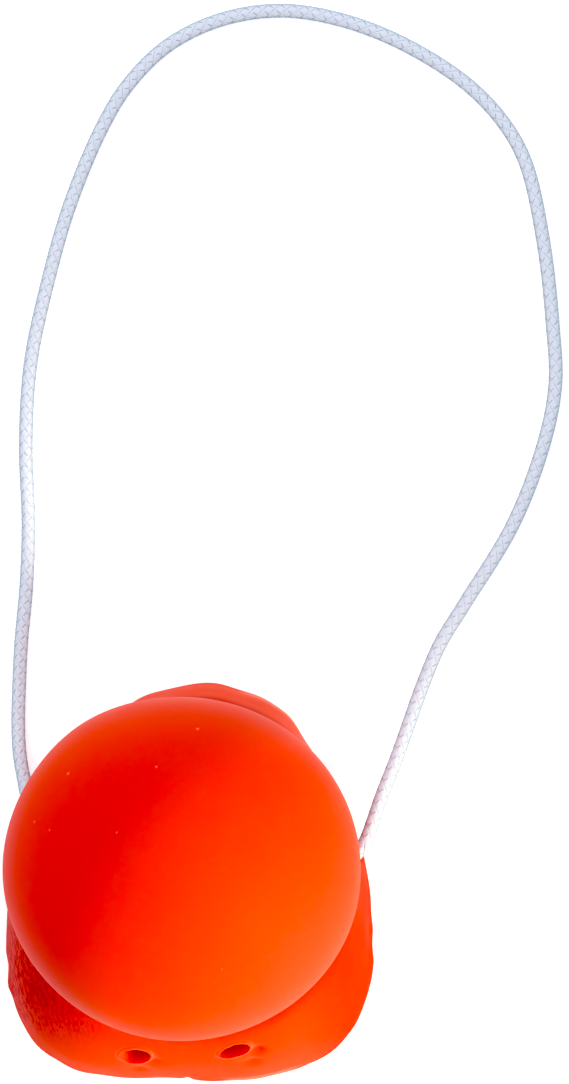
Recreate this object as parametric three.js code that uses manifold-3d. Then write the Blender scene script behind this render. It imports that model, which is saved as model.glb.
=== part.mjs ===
// A clown nose: a hollow ball on a flared base that fits over the wearer's nose, cast in one
// piece of latex, with two nostril holes and a round elastic cord knotted through its sides.
// Millimetres. X runs across the face, Y up the face to the bridge of the nose, Z out from it.
// The nose rests on its rim. The origin is on that surface, under the middle of the base.
import * as THREE from "three";
import { mergeVertices } from "three/addons/utils/BufferGeometryUtils.js";
import Module from "manifold-3d";

const wasm = await Module();
wasm.setup();

// The shell
const WALL = 1.5;
const BALL_WIDTH = 50.2;
const BALL_LENGTH = 48.6;
const BALL_DEPTH = 50;
const BALL_SHIFT_X = 1.6; // from the middle of the base to the middle of the ball
const BALL_SHIFT_Y = 4;
const BALL_SINK = 12.8; // how deep the ball would reach into the base if it were whole
const BASE_WIDTH = 54.4;
const BASE_LENGTH = 58.4;
const BASE_HEIGHT = 14.8; // from the surface up to the crease under the ball
const SHOULDER_SHARE = 0.38; // how far in from rim to crease the shoulder's corner lies
const SHOULDER_PULL = 0.62; // how squarely the side wall turns over its shoulder
const CREASE_FILLET = 1.2;
const RIM_ARCH = 1.5; // how far the rim lifts off the surface between its three feet

// The nostrils
const NOSTRIL_WIDTH = 4.8;
const NOSTRIL_SPACING = 15;
const NOSTRIL_HEIGHT = { left: 9, right: 10.2 };
const NOSTRIL_LIP = 0.35; // how far the bead round each hole stands out of the wall
const NOSTRIL_AZIMUTH = -92; // degrees round the ball's axis, from +X, midway between the holes

// The elastic cord and its knots
const CORD_DIAMETER = 2;
const CORD_CLEARANCE = 0.35;
const CORD_HOLE_HEIGHT = 6;
const CORD_STRAIGHT = 1.7; // how far the cord runs straight out of its hole
const CORD_LEAN = 38; // degrees from square to the wall towards the bridge
const CORD_HOLES = { left: 166, right: 2 }; // degrees round the ball's axis, from +X
const KNOT_WIDTH = 4.6;
const KNOT_GAP = 0.65; // between a knot and the flat that touches the wall at its hole
const CORD_GAP = 0.3; // between a knot and the cord that runs into it

// How finely the faces are cut
const COLUMNS = 60;
const BALL_ROWS = 12;
const FILLET_ROWS = 2;
const WALL_ROWS = 6;
const OUTLINE_SAMPLES = 720;
const HOLE_SIDES = 20;
const BEAD_SIDES = 8;
const CORD_SIDES = 8;
const CORD_STEPS = 78;

// The rim's outline, seen from the front: x and y are shares of half the base's width and length,
// and lift is a share of the rim's arch.
const OUTLINE = [
  { place: "bridge", x: 0.14, y: 1.0, lift: 0 },
  { place: "right of bridge", x: 0.31, y: 0.96, lift: 0 },
  { place: "right bridge corner", x: 0.48, y: 0.88, lift: 0.3 },
  { place: "upper right flank", x: 0.64, y: 0.7, lift: 0.8 },
  { place: "right flank", x: 0.8, y: 0.42, lift: 1 },
  { place: "above right cheek", x: 0.93, y: 0.14, lift: 0.7 },
  { place: "right cheek", x: 1.0, y: -0.3, lift: 0.15 },
  { place: "below right cheek", x: 0.99, y: -0.5, lift: 0 },
  { place: "right corner", x: 0.92, y: -0.69, lift: 0 },
  { place: "low right corner", x: 0.79, y: -0.85, lift: 0 },
  { place: "right of lip", x: 0.4, y: -0.985, lift: 0.3 },
  { place: "lip", x: -0.03, y: -0.995, lift: 0.6 },
  { place: "left of lip", x: -0.45, y: -0.99, lift: 0.3 },
  { place: "low left corner", x: -0.7, y: -0.925, lift: 0 },
  { place: "left corner", x: -0.87, y: -0.79, lift: 0 },
  { place: "below left cheek", x: -0.965, y: -0.58, lift: 0 },
  { place: "left cheek", x: -1.0, y: -0.28, lift: 0.15 },
  { place: "above left cheek", x: -0.94, y: 0.1, lift: 0.7 },
  { place: "left flank", x: -0.81, y: 0.38, lift: 1 },
  { place: "upper left flank", x: -0.62, y: 0.63, lift: 0.8 },
  { place: "left bridge corner", x: -0.41, y: 0.82, lift: 0.3 },
  { place: "left of bridge", x: -0.19, y: 0.955, lift: 0 },
];

// The cord's free route on the surface, from the left side round to the right one.
const CORD_ROUTE = [
  [-24.3, 14.4, 4.9],
  [-25.2, 18.6, 3.5],
  [-25.4, 23.2, 2.0],
  [-25.1, 28.4, 1.15],
  [-24.6, 35.0, 1.05],
  [-24.0, 44.0, 1.05],
  [-24.0, 52.8, 1.05],
  [-24.4, 64.6, 1.05],
  [-23.4, 76.4, 1.05],
  [-20.9, 88.3, 1.05],
  [-17.5, 100.1, 1.05],
  [-12.5, 111.9, 1.05],
  [-8.7, 117.9, 1.05],
  [-3.0, 123.4, 1.05],
  [4.7, 127.1, 1.05],
  [13.6, 128.4, 1.05],
  [22.5, 127.0, 1.05],
  [31.9, 123.3, 1.05],
  [41.2, 117.3, 1.05],
  [46.7, 111.4, 1.05],
  [49.8, 105.6, 1.05],
  [52.4, 93.8, 1.05],
  [53.7, 82.1, 1.05],
  [54.1, 73.3, 1.05],
  [52.4, 64.5, 1.05],
  [47.9, 52.7, 1.05],
  [40.8, 41.0, 1.05],
  [37.2, 35.1, 1.05],
  [34.5, 29.2, 1.15],
  [32.2, 23.3, 1.9],
  [30.0, 17.9, 3.2],
  [27.8, 12.6, 4.8],
];

const LATEX = new THREE.MeshStandardMaterial({ color: 0xf0340a, roughness: 0.55, metalness: 0 });
const ELASTIC = new THREE.MeshStandardMaterial({ color: 0xeeedf4, roughness: 0.9, metalness: 0 });

const BALL_HEIGHT = BASE_HEIGHT + BALL_DEPTH / 2 - BALL_SINK;
const BALL_AXIS = new THREE.Vector3(BALL_SHIFT_X, BALL_SHIFT_Y, 0);

const radians = THREE.MathUtils.degToRad;

// The outline as azimuth, reach and lift around the ball's axis, in order of azimuth.
function measuredRim() {
  const knots = OUTLINE.map((row) => new THREE.Vector3(row.x, row.y, row.lift * RIM_ARCH));
  const line = new THREE.CatmullRomCurve3(knots, true).getSpacedPoints(OUTLINE_SAMPLES);
  const box = new THREE.Box3().setFromPoints(line);
  const middle = box.getCenter(new THREE.Vector3());
  const span = box.getSize(new THREE.Vector3());
  const samples = line.slice(1).map((point) => {
    const x = ((point.x - middle.x) / span.x) * BASE_WIDTH - BALL_AXIS.x;
    const y = ((point.y - middle.y) / span.y) * BASE_LENGTH - BALL_AXIS.y;
    return { azimuth: Math.atan2(y, x), reach: Math.hypot(x, y), lift: Math.max(point.z, 0) };
  });
  return samples.sort((a, b) => a.azimuth - b.azimuth);
}

const RIM = measuredRim();

// The rim's reach and lift at an azimuth, between its two nearest samples.
function rimAt(azimuth) {
  const turn = 2 * Math.PI;
  const wanted = azimuth - turn * Math.round(azimuth / turn);
  const above = RIM.findIndex((sample) => sample.azimuth >= wanted);
  const next = RIM[Math.max(above, 0)];
  const last = RIM[(Math.max(above, 0) + RIM.length - 1) % RIM.length];
  const gap = (next.azimuth - last.azimuth + turn) % turn;
  const share = gap > 0 ? ((wanted - last.azimuth + turn) % turn) / gap : 0;
  return {
    reach: THREE.MathUtils.lerp(last.reach, next.reach, share),
    lift: THREE.MathUtils.lerp(last.lift, next.lift, share),
  };
}

// The ball's half width at an azimuth, at its equator.
function ballReach(azimuth) {
  return 1 / Math.hypot(Math.cos(azimuth) / (BALL_WIDTH / 2), Math.sin(azimuth) / (BALL_LENGTH / 2));
}

// The ball's arc and the side wall's curve at an azimuth, as reach and height, inset into the wall.
function section(azimuth, inset) {
  const rim = rimAt(azimuth);
  const half = { reach: ballReach(azimuth) - inset, depth: BALL_DEPTH / 2 - inset };
  const creaseHeight = BASE_HEIGHT - inset / 2;
  const creaseAngle = Math.acos((creaseHeight - BALL_HEIGHT) / half.depth);
  const crease = new THREE.Vector2(half.reach * Math.sin(creaseAngle), creaseHeight);
  const foot = new THREE.Vector2(rim.reach - inset, rim.lift);
  const shoulder = new THREE.Vector2(
    THREE.MathUtils.lerp(foot.x, crease.x, SHOULDER_SHARE),
    BASE_HEIGHT - inset,
  );
  const wall = new THREE.CubicBezierCurve(
    crease,
    crease.clone().lerp(shoulder, SHOULDER_PULL),
    foot.clone().lerp(shoulder, SHOULDER_PULL),
    foot,
  );
  return { half, creaseAngle, crease, wall };
}

// The section's points from the ball's pole to the rim, with a fillet in the crease.
function profile(azimuth, inset) {
  const { half, creaseAngle, crease, wall } = section(azimuth, inset);
  const arcEnd = creaseAngle - CREASE_FILLET / half.depth;
  const arc = Array.from({ length: BALL_ROWS + 1 }, (_, row) => {
    const angle = (arcEnd * row) / BALL_ROWS;
    const height = BALL_HEIGHT + half.depth * Math.cos(angle);
    return new THREE.Vector2(half.reach * Math.sin(angle), height);
  });
  const wallStart = CREASE_FILLET / wall.getLength();
  const side = Array.from({ length: WALL_ROWS + 1 }, (_, row) =>
    wall.getPointAt(THREE.MathUtils.lerp(wallStart, 1, row / WALL_ROWS)),
  );
  const fillet = new THREE.QuadraticBezierCurve(arc[BALL_ROWS], crease, side[0]);
  return [...arc, ...fillet.getPoints(FILLET_ROWS).slice(1, -1), ...side];
}

// A point at an azimuth, reach and height around the ball's axis.
function around(azimuth, point) {
  return new THREE.Vector3(
    BALL_AXIS.x + point.x * Math.cos(azimuth),
    BALL_AXIS.y + point.x * Math.sin(azimuth),
    point.y,
  );
}

// A closed surface through rings of points, with a point at each end.
function loft(start, rings, end) {
  const columns = rings[0].length;
  const points = [start, ...rings.flat(), end];
  const at = (ring, column) => 1 + ring * columns + (column % columns);
  const index = [];
  for (let column = 0; column < columns; column++) {
    index.push(0, at(0, column), at(0, column + 1));
    for (let ring = 0; ring + 1 < rings.length; ring++) {
      const [a, b] = [at(ring, column), at(ring, column + 1)];
      const [d, c] = [at(ring + 1, column), at(ring + 1, column + 1)];
      index.push(a, d, c, a, c, b);
    }
    const last = rings.length - 1;
    index.push(at(last, column), points.length - 1, at(last, column + 1));
  }
  return new THREE.BufferGeometry().setFromPoints(points).setIndex(index);
}

// A three.js geometry as a solid that can be joined and cut.
function solidOf(geometry) {
  const bare = new THREE.BufferGeometry().setAttribute("position", geometry.getAttribute("position"));
  bare.setIndex(geometry.index);
  const merged = mergeVertices(bare);
  return new wasm.Manifold(
    new wasm.Mesh({
      numProp: 3,
      vertProperties: merged.attributes.position.array,
      triVerts: new Uint32Array(merged.index.array),
    }),
  );
}

// A solid as a three.js geometry.
function geometryOf(solid) {
  const { vertProperties, triVerts } = solid.getMesh();
  return new THREE.BufferGeometry()
    .setAttribute("position", new THREE.BufferAttribute(vertProperties, 3))
    .setIndex(new THREE.BufferAttribute(triVerts, 1));
}

// The point of the side wall at an azimuth and height, on its outside or inset into it.
function wallPoint(azimuth, height, inset) {
  const { wall } = section(azimuth, inset);
  let [above, below] = [0, 1]; // shares of the way from the crease to the rim
  for (let halving = 0; halving < 30; halving++) {
    const middle = (above + below) / 2;
    if (wall.getPoint(middle).y > height) above = middle;
    else below = middle;
  }
  return around(azimuth, wall.getPoint(above));
}

// The side wall at an azimuth and height: its outside, the way out of it and its thickness.
function wallAt(azimuth, height) {
  const point = wallPoint(azimuth, height, 0);
  const across = wallPoint(azimuth + 0.02, height, 0).sub(wallPoint(azimuth - 0.02, height, 0));
  const up = wallPoint(azimuth, height + 0.3, 0).sub(wallPoint(azimuth, height - 0.3, 0));
  const outward = across.cross(up).normalize();
  const thickness = outward.dot(point.clone().sub(wallPoint(azimuth, height, WALL)));
  return { point, outward, thickness };
}

// A round cutter along an axis, centred on a point of the wall.
function roundCutter(point, axis, radius) {
  const length = 5 * WALL;
  const turn = new THREE.Quaternion().setFromUnitVectors(new THREE.Vector3(0, 1, 0), axis);
  const geometry = new THREE.CylinderGeometry(radius, radius, length, HOLE_SIDES);
  return solidOf(geometry.applyQuaternion(turn).translate(point.x, point.y, point.z));
}

// Both nostrils: where each hole's middle lies on the wall under the ball, and its axis.
function nostrils() {
  const middle = radians(NOSTRIL_AZIMUTH);
  const { point } = wallAt(middle, NOSTRIL_HEIGHT.left);
  const reach = Math.hypot(point.x - BALL_AXIS.x, point.y - BALL_AXIS.y);
  const swing = Math.atan(NOSTRIL_SPACING / 2 / reach);
  return [
    wallAt(middle - swing, NOSTRIL_HEIGHT.left),
    wallAt(middle + swing, NOSTRIL_HEIGHT.right),
  ];
}

// One end of the cord: its hole in the wall, its direction out of it, and the knot inside.
function cordEnd(azimuth) {
  const { point, outward, thickness } = wallAt(radians(azimuth), CORD_HOLE_HEIGHT);
  const lean = radians(CORD_LEAN) * Math.sign(outward.x);
  const direction = new THREE.Vector3(outward.x, outward.y, 0).normalize();
  direction.applyAxisAngle(new THREE.Vector3(0, 0, 1), lean);
  const knotDepth = (thickness + KNOT_GAP + KNOT_WIDTH / 2) / direction.dot(outward);
  const along = (distance) => point.clone().addScaledVector(direction, distance);
  return {
    point,
    direction,
    knot: along(-knotDepth),
    inside: along(KNOT_WIDTH / 2 + CORD_GAP - knotDepth),
    outside: along(CORD_STRAIGHT),
  };
}

const leftEnd = cordEnd(CORD_HOLES.left);
const rightEnd = cordEnd(CORD_HOLES.right);

function noseShell() {
  const rings = [0, WALL].map((inset) => {
    const columns = Array.from({ length: COLUMNS }, (_, column) => {
      const azimuth = (2 * Math.PI * column) / COLUMNS;
      return profile(azimuth, inset).map((point) => around(azimuth, point));
    });
    return columns[0].map((_, row) => columns.map((points) => points[row]));
  });
  const [outer, inner] = rings;
  let shell = solidOf(
    loft(outer[0][0], [...outer.slice(1), ...inner.slice(1).reverse()], inner[0][0]),
  );
  const holes = nostrils();
  for (const { point, outward } of holes) {
    const ringRadius = NOSTRIL_WIDTH / 2 + NOSTRIL_LIP;
    const bead = new THREE.TorusGeometry(ringRadius, NOSTRIL_LIP, BEAD_SIDES, HOLE_SIDES);
    const turn = new THREE.Quaternion().setFromUnitVectors(new THREE.Vector3(0, 0, 1), outward);
    bead.applyQuaternion(turn).translate(point.x, point.y, point.z);
    shell = shell.add(solidOf(bead));
  }
  for (const { point, outward } of holes) {
    shell = shell.subtract(roundCutter(point, outward, NOSTRIL_WIDTH / 2));
  }
  for (const { point, direction } of [leftEnd, rightEnd]) {
    shell = shell.subtract(roundCutter(point, direction, CORD_DIAMETER / 2 + CORD_CLEARANCE));
  }
  const mesh = new THREE.Mesh(geometryOf(shell), LATEX);
  mesh.name = "nose_shell";
  return mesh;
}

function elasticCord() {
  const route = new THREE.CatmullRomCurve3([
    leftEnd.inside,
    leftEnd.point,
    leftEnd.outside,
    ...CORD_ROUTE.map((point) => new THREE.Vector3(...point)),
    rightEnd.outside,
    rightEnd.point,
    rightEnd.inside,
  ]);
  const section = new THREE.Shape(
    Array.from({ length: CORD_SIDES }, (_, side) => {
      const angle = (2 * Math.PI * side) / CORD_SIDES;
      return new THREE.Vector2(Math.cos(angle), Math.sin(angle)).multiplyScalar(CORD_DIAMETER / 2);
    }),
  );
  const settings = { steps: CORD_STEPS, extrudePath: route };
  const mesh = new THREE.Mesh(new THREE.ExtrudeGeometry(section, settings), ELASTIC);
  mesh.name = "elastic_cord";
  return mesh;
}

function knot(name, end) {
  const mesh = new THREE.Mesh(new THREE.SphereGeometry(KNOT_WIDTH / 2, 12, 8), ELASTIC);
  mesh.position.copy(end.knot);
  mesh.name = name;
  return mesh;
}

const nose = new THREE.Group();
nose.add(
  noseShell(),
  elasticCord(),
  knot("knot_left", leftEnd),
  knot("knot_right", rightEnd),
);

export default nose;
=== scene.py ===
"""A clown nose of cast latex on a loop of round elastic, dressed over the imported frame.

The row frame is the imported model's: X across the face, Y up the face to the bridge of the nose, Z
out of the face, with the surface that the rim rests on at Z = 0. Lengths are written in millimetres
and turned to metres where a mesh, a light or the camera is made.
"""

import logging
import math
from dataclasses import dataclass, field
from enum import Enum
from typing import Any

import bmesh
import bpy
import numpy as np
from mathutils import Matrix, Vector

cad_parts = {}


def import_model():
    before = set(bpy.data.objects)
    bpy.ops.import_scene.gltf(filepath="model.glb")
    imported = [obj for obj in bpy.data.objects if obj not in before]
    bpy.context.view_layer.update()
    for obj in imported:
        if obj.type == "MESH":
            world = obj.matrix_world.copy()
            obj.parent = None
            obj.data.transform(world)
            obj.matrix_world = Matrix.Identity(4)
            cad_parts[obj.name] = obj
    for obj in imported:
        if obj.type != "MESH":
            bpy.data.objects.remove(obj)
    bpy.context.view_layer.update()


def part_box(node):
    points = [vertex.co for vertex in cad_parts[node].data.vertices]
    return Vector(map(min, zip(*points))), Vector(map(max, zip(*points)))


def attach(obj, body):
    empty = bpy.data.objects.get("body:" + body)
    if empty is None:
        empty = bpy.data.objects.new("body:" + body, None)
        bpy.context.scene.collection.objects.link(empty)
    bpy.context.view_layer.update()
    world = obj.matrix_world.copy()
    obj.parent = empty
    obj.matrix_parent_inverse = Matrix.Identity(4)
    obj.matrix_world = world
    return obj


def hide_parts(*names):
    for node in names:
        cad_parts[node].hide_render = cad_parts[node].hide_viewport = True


log = logging.getLogger("clown_nose")

MM = 0.001
WELD = 0.003  # millimetres: cut edges shorter than this are closed up
SEED = 7
CURVE_STEPS = 60
WAVES = 7
UP = np.array([0.0, 0.0, 1.0])
Array = np.ndarray
Faces = list[tuple[int, ...]]
Body = tuple[Array, Faces]
Zones = tuple[tuple[str, float, float], ...]
Object = bpy.types.Object
Socket = bpy.types.NodeSocket
Tree = bpy.types.NodeTree


class Side(Enum):
    """The two ends of the cord, with each one's CAD knot."""

    LEFT = "knot_left"
    RIGHT = "knot_right"


# Numbers and colours


def linear(hex_colour: str) -> tuple[float, float, float, float]:
    """Turns an sRGB hex colour to linear RGBA.

    Args:
        hex_colour: The colour as "#rrggbb".

    Returns:
        Its linear red, green and blue, with alpha 1.
    """
    shares = [int(hex_colour[i : i + 2], 16) / 255 for i in (1, 3, 5)]
    red, green, blue = (c / 12.92 if c <= 0.04045 else ((c + 0.055) / 1.055) ** 2.4 for c in shares)
    return red, green, blue, 1.0


def ease(low: float, high: float, value: Array) -> Array:
    """Rises smoothly from 0 at one value to 1 at another.

    Args:
        low: Where it is 0.
        high: Where it is 1, above or below the other.
        value: The values.

    Returns:
        The share at each.
    """
    share = np.clip((value - low) / (high - low), 0.0, 1.0)
    return share * share * (3 - 2 * share)


def through_points(points: list[tuple[float, ...]], closed: bool, count: int) -> Array:
    """Samples the centripetal curve through points, evenly along its length.

    Args:
        points: The points that the curve passes through.
        closed: Whether it runs back to its first point.
        count: How many samples to return.

    Returns:
        The samples, one a row. A closed curve's first sample isn't repeated at its end.
    """
    knots = np.array(points, float)
    if closed:
        ring = np.vstack([knots[-1], knots, knots[0], knots[1]])
    else:
        ring = np.vstack([2 * knots[0] - knots[1], knots, 2 * knots[-1] - knots[-2]])
    share = np.linspace(0, 1, CURVE_STEPS, endpoint=False)[:, None]
    dense = []
    for a, b, c, d in zip(ring[:-3], ring[1:-2], ring[2:-1], ring[3:]):
        before, here, after = (np.linalg.norm(q - p) ** 0.5 for p, q in ((a, b), (b, c), (c, d)))
        leave = here * ((b - a) / before - (c - a) / (before + here) + (c - b) / here)
        reach = here * ((c - b) / here - (d - b) / (here + after) + (d - c) / after)
        bend = -3 * b + 3 * c - 2 * leave - reach
        twist = 2 * b - 2 * c + leave + reach
        dense.append(b + share * (leave + share * (bend + share * twist)))
    line = np.vstack([*dense, knots[:1] if closed else knots[-1:]])
    along = np.concatenate([[0], np.cumsum(np.linalg.norm(np.diff(line, axis=0), axis=1))])
    wanted = np.linspace(0, along[-1], count, endpoint=not closed)
    return np.stack([np.interp(wanted, along, line[:, i]) for i in range(line.shape[1])], axis=1)


def rolling(points: Array, wavelength: float, seed: int) -> Array:
    """A smooth, seeded unevenness between about -1 and 1, from waves in scattered directions.

    Args:
        points: The places where it is wanted, one a row.
        wavelength: The distance between its crests, in the points' unit.
        seed: Picks the waves.

    Returns:
        One value for each point.
    """
    source = np.random.default_rng(seed)
    total = np.zeros(len(points))
    for _ in range(WAVES):
        direction = source.normal(size=3)
        direction /= np.linalg.norm(direction)
        turns = 2 * math.pi / (wavelength * source.uniform(0.75, 1.5))
        total += np.sin(turns * points @ direction + source.uniform(0, 2 * math.pi))
    return total / 4


# Materials


def add_node(
    tree: Tree,
    kind: str,
    settings: dict[str, Any] | None = None,
    inputs: dict[int | str, Any] | None = None,
) -> bpy.types.Node:
    """Adds a node with its settings, values and links.

    Args:
        tree: The shader or geometry tree that it goes in.
        kind: The node's type.
        settings: The node's own properties.
        inputs: A value, or another node's output to link, for each input by name or number.

    Returns:
        The new node.
    """
    node = tree.nodes.new(kind)
    for name, value in (settings or {}).items():
        setattr(node, name, value)
    for key, value in (inputs or {}).items():
        if isinstance(value, Socket):
            tree.links.new(value, node.inputs[key])
        else:
            node.inputs[key].default_value = value
    return node


def ramp(
    tree: Tree,
    value: Socket,
    ends: tuple[float, ...],
    shares: tuple[float, float] = (0.0, 1.0),
    smooth: bool = True,
) -> Socket:
    """Turns a value between two ends into a share, and holds it beyond them.

    Args:
        tree: The shader tree.
        value: The value.
        ends: The two ends.
        shares: What comes out at each end.
        smooth: Whether it eases in and out.

    Returns:
        The share.
    """
    (low, high), (least, most) = ends, shares
    steps = {"Value": value, "From Min": low, "From Max": high, "To Min": least, "To Max": most}
    kind = "SMOOTHSTEP" if smooth else "LINEAR"
    return add_node(tree, "ShaderNodeMapRange", {"interpolation_type": kind}, steps).outputs[0]


def zone(tree: Tree, value: Socket, off: float, on: float) -> Socket:
    """Rises smoothly from 0 where a length is `off` millimetres to 1 where it is `on`.

    Args:
        tree: The shader tree.
        value: The length, in metres.
        off: Where the zone ends, in millimetres.
        on: Where it is full, in millimetres.

    Returns:
        The share.
    """
    return ramp(tree, value, (off * MM, on * MM))


def product(tree: Tree, *factors: Any) -> Socket:
    """Multiplies sockets and numbers together.

    Args:
        tree: The shader tree.
        *factors: The sockets and numbers, a socket first.

    Returns:
        The product.
    """
    total = factors[0]
    for factor in factors[1:]:
        total = add_node(tree, "ShaderNodeMath", {"operation": "MULTIPLY"}, {0: total, 1: factor}).outputs[0]
    return total


def mixed(tree: Tree, share: Any, under: Any, over: Any) -> Socket:
    """Lays one colour over another.

    Args:
        tree: The shader tree.
        share: How much of the upper colour shows, 0 to 1.
        under: The lower colour.
        over: The upper colour.

    Returns:
        The mixed colour.
    """
    inputs = {"Factor": share, 6: under, 7: over}
    return add_node(tree, "ShaderNodeMix", {"data_type": "RGBA"}, inputs).outputs[2]


def distance(tree: Tree, place: Socket, point: list[float] | tuple[float, ...]) -> Socket:
    """Measures how far every place is from a point.

    Args:
        tree: The shader tree.
        place: The place, in metres.
        point: The point, in millimetres.

    Returns:
        The distance, in metres.
    """
    inputs = {0: place, 1: [v * MM for v in point]}
    return add_node(tree, "ShaderNodeVectorMath", {"operation": "DISTANCE"}, inputs).outputs["Value"]


def noise(
    tree: Tree, place: Socket, scale: float, detail: float, roughness: float = 0.5, distortion: float = 0.0
) -> Socket:
    """Adds a noise texture.

    Args:
        tree: The shader tree.
        place: Where it is read.
        scale: Its waves to a metre.
        detail: How many finer layers it has.
        roughness: How strong they are.
        distortion: How much it is stirred.

    Returns:
        The noise, 0 to 1.
    """
    inputs = {
        "Vector": place, "Scale": scale, "Detail": detail, "Roughness": roughness, "Distortion": distortion,
    }
    return add_node(tree, "ShaderNodeTexNoise", inputs=inputs).outputs["Fac"]


def new_shader(name: str, values: dict[str, Any]) -> tuple[bpy.types.Material, Tree, bpy.types.Node]:
    """Starts a material.

    Args:
        name: The material's name.
        values: What its Principled shader's inputs are set to.

    Returns:
        The material, its node tree and its Principled shader.
    """
    material = bpy.data.materials.new(name)
    material.use_nodes = True
    shader = material.node_tree.nodes["Principled BSDF"]
    for key, value in values.items():
        shader.inputs[key].default_value = value
    return material, material.node_tree, shader


@dataclass(frozen=True)
class CastLatex:
    """Natural rubber latex, pigmented through and slip-cast in a plaster mould.

    The dried skin is matte and lets a little red light through. Painted sheen pales it where it is
    seen at a slant, less on the side towards the key light; on the other side of the ball a painted
    reflection tints the slant pink, and the top end of the ball gets more painted sheen. A painted
    highlight pales two stretches of the trimmed edge and the nostrils' lips. Painted shade darkens
    the crease under the ball, the base towards +X and the grained side of the base. Small bubbles
    leave pale specks, and the mould leaves a pored, streaky grain on one side of the base.
    """

    colour: str = "#da492f"
    mottled: str = "#d8472e"
    base: str = "#d84a31"
    # Painted shade: the base is darker towards +X.
    painted_flank_shade: str = "#cb2c18"
    flank_shade_share: float = 0.8
    # Painted shade in the crease under the ball, fading out over the base.
    painted_crease_shade: str = "#a82a1c"
    crease_shade_share: float = 0.7
    # The grained side of the base, under the ball: grain, painted darker as shade.
    grain_and_shade: str = "#cb4a46"
    grain_and_shade_share: float = 0.75
    streak: str = "#a61c16"
    # The streaks' noise where they are full and where they end, and how much shows at each.
    streak_ends: tuple[float, float] = (0.43, 0.55)
    streak_shares: tuple[float, float] = (0.65, 0.05)
    # Painted highlight along two stretches of the trimmed edge and on the nostrils' lips.
    painted_edge_light: str = "#f08270"
    edge_light_share: float = 0.7
    lip_share: float = 0.16
    speck: str = "#ff9c86"
    speck_share: float = 0.4
    # The painted sheens and the painted reflection: each one's slant to the eye where it starts and where it
    # is full, and how much shows there.
    painted_rim_sheen: str = "#ffa8b0"
    rim_sheen_slant: tuple[float, float] = (0.55, 1.0)
    rim_sheen_share: float = 0.09
    # Painted reflection: a pink tint where the shade side of the ball is seen at a slant.
    painted_shade_side_reflection: str = "#cc4a96"
    shade_side_reflection_slant: tuple[float, float] = (0.38, 0.7)
    shade_side_reflection_share: float = 0.055
    # Painted sheen on the top end of the ball.
    top_sheen_slant: tuple[float, float] = (0.3, 0.6)
    top_sheen_share: float = 0.035
    # Where the painted sheen fades towards the key light: which way that is, its ends along that way and how
    # much sheen is left at each.
    sheen_fade_way: tuple[float, float, float] = (0.8, -0.6, 0.0)
    sheen_fade_ends: tuple[float, float] = (-2.0, 18.0)
    sheen_fade_shares: tuple[float, float] = (1.0, 0.2)
    sheen: str = "#ffffff"
    sheen_shares: tuple[float, float] = (0.03, 0.015)
    sheen_roughness: float = 0.25
    roughness: float = 0.76
    ior: float = 1.5
    specular: float = 0.22
    scatter: float = 0.7
    scatter_colours: tuple[float, float, float] = (1.0, 0.12, 0.05)
    scatter_mm: float = 2.5
    mottle_mm: float = 9.0
    grain_mm: float = 0.95
    grain_height_mm: float = 0.2
    grain_turn: float = 24.0
    grain_stretch: tuple[float, float, float] = (1.9, 0.8, 0.9)
    pore_mm: float = 0.45
    pore_depth_mm: float = 0.02
    ball_centre: tuple[float, float, float] = (1.6, 4.0, 27.0)
    ball_radius: float = 24.7
    # Zones: where each one ends and where it is full, in millimetres. The crease's is off the ball.
    crease_zone: tuple[float, float] = (6.2, 2.6)
    base_zone: tuple[float, float] = (15.5, 13.5)
    ball_zone: tuple[float, float] = (12.0, 16.0)
    flank_shade_zone: tuple[float, float] = (16.0, 25.0)
    top_sheen_zone: tuple[float, float] = (15.0, 25.0)
    shade_side_zones: tuple[tuple[float, float], tuple[float, float]] = ((2.0, -8.0), (20.0, 8.0))
    grain_and_shade_zones: Zones = (("X", -8.0, -17.0), ("Y", 5.0, -4.0), ("Y", -25.0, -17.0), ("Z", 15.0, 12.0))
    edge_light_zones: tuple[Zones, ...] = (
        (("Z", 1.7, 1.1), ("Y", -22.0, -25.0), ("X", 4.5, 7.0), ("X", 18.0, 14.0)),
        (("Z", 2.6, 1.6), ("Y", 21.0, 24.0), ("X", 7.0, 10.0), ("X", 21.0, 17.0)),
    )
    # Bubbles that broke through the skin: their places on the ball and their radii.
    specks: tuple[tuple[float, float, float, float], ...] = (
        (5.0, 24.3, 40.1, 0.17), (-12.7, 18.1, 41.5, 0.19), (-17.5, 11.5, 41.4, 0.13),
        (-0.1, 19.4, 46.2, 0.12), (-5.1, 10.7, 50.1, 0.09), (-15.0, 10.6, 44.6, 0.10),
        (-7.4, 18.7, 44.7, 0.08), (18.5, -12.0, 35.4, 0.09), (9.0, -8.0, 47.4, 0.08),
    )
    # A speck's edge as shares of its radius: where it ends and where it is full.
    speck_edge: tuple[float, float] = (2.2, 0.6)

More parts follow.
